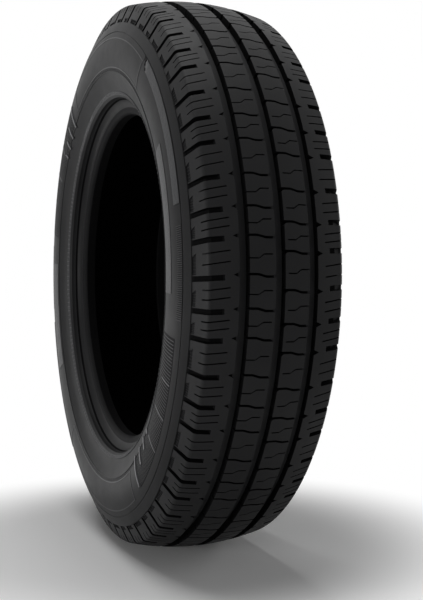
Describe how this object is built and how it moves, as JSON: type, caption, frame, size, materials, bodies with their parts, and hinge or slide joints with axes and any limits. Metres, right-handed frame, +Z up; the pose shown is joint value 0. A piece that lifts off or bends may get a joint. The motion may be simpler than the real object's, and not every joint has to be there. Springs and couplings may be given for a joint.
{
  "type": "car tyre",
  "caption": "Van tyre: a ring of black rubber with a ribbed tread between two shoulders, round sidewalls with thin ring lines, and two beads around an open middle.",
  "frame": {"origin": "the wheel's centre, on the spin axis and midway between the two beads", "axes": "+Y along the spin axis, +Z up as the tyre stands on its tread, +X along the ground in the rolling direction"},
  "size_m": [0.684, 0.1838, 0.684],
  "materials": {
    "rubber": "satin"
  },
  "bodies": {
    "root": {"tyre": "rubber"}
  },
  "joints": []
}
